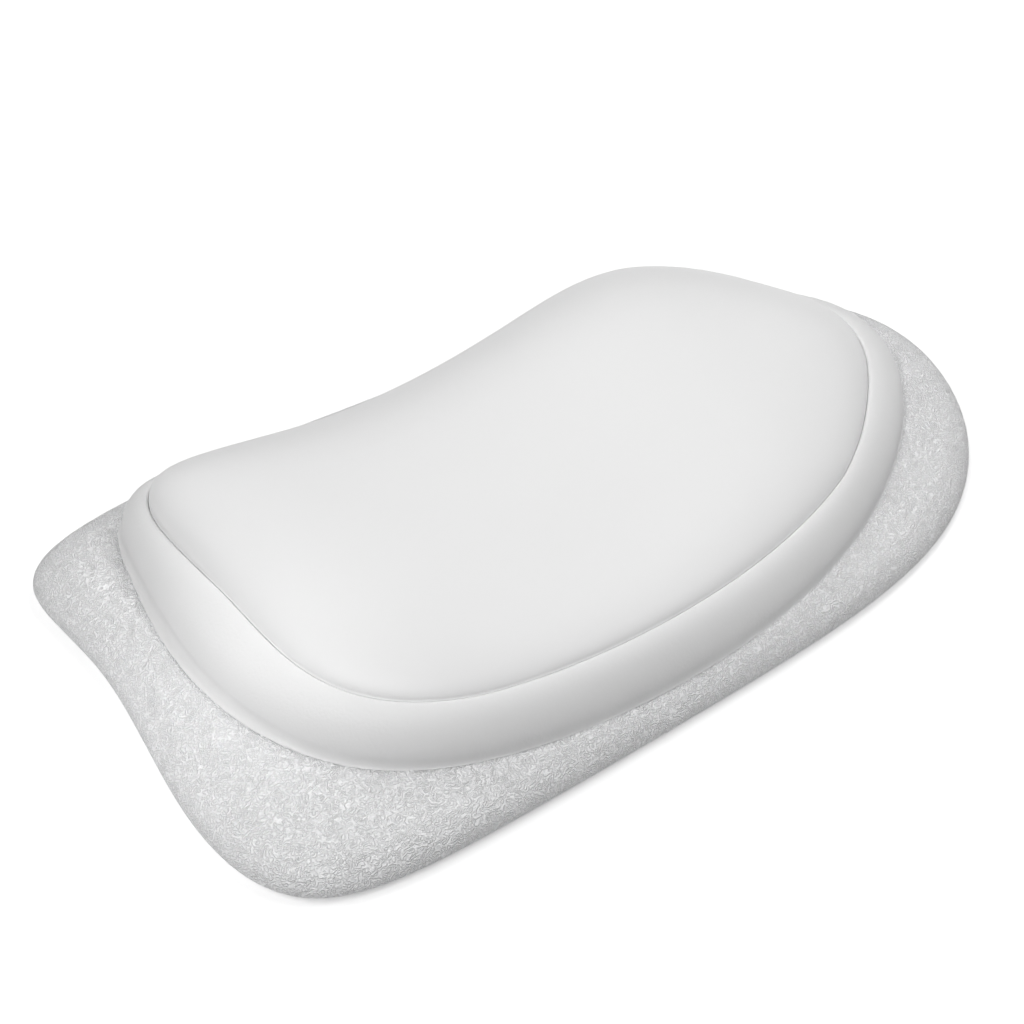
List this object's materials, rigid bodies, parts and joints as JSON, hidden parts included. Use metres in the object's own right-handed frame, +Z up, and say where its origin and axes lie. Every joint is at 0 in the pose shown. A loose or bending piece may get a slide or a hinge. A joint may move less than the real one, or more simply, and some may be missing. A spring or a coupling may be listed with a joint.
{
  "type": "bath pillow",
  "caption": "Moulded bath pillow: grained base with a brim, rounded bolster ring and a smooth low-crowned pad, held to the bath by suction cups that press into wells underneath.",
  "frame": {"origin": "on the bath's surface, under the middle of the base's box", "axes": "+X along the pillow towards its round end, +Y towards its hollowed back edge, +Z up out of the bath's surface"},
  "size_m": [0.336, 0.186, 0.0461],
  "materials": {
    "grained_skin": "white polyurethane skin with a fine worm grain, matte",
    "matte_skin": "white polyurethane skin, very fine matte",
    "smooth_skin": "white polyurethane skin, smooth satin",
    "soft_foam": "open-cell flexible foam",
    "white_plastic": "moulded polypropylene",
    "clear_vinyl": "clear soft vinyl, glossy"
  },
  "bodies": {
    "pillow": {"base_flange": "grained_skin", "bolster": "matte_skin", "pad_cover": "smooth_skin", "pad_filling": "soft_foam", "foam_core": "soft_foam", "stiffener_plate": "white_plastic", "cup_socket_1": "white_plastic", "cup_socket_2": "white_plastic", "cup_socket_3": "white_plastic", "cup_socket_4": "white_plastic"},
    "cup_1": {"suction_cup_1": "clear_vinyl"},
    "cup_2": {"suction_cup_2": "clear_vinyl"},
    "cup_3": {"suction_cup_3": "clear_vinyl"},
    "cup_4": {"suction_cup_4": "clear_vinyl"}
  },
  "joints": [
    {"name": "cup_1_press", "type": "slide", "parent": "pillow", "child": "cup_1", "axis": [0, 0, 1], "range_m": [0, 0.002], "stiffness_N_per_m": 2500, "springref_m": -0.002},
    {"name": "cup_2_press", "type": "slide", "parent": "pillow", "child": "cup_2", "axis": [0, 0, 1], "range_m": [0, 0.002], "stiffness_N_per_m": 2500, "springref_m": -0.002},
    {"name": "cup_3_press", "type": "slide", "parent": "pillow", "child": "cup_3", "axis": [0, 0, 1], "range_m": [0, 0.002], "stiffness_N_per_m": 2500, "springref_m": -0.002},
    {"name": "cup_4_press", "type": "slide", "parent": "pillow", "child": "cup_4", "axis": [0, 0, 1], "range_m": [0, 0.002], "stiffness_N_per_m": 2500, "springref_m": -0.002}
  ]
}
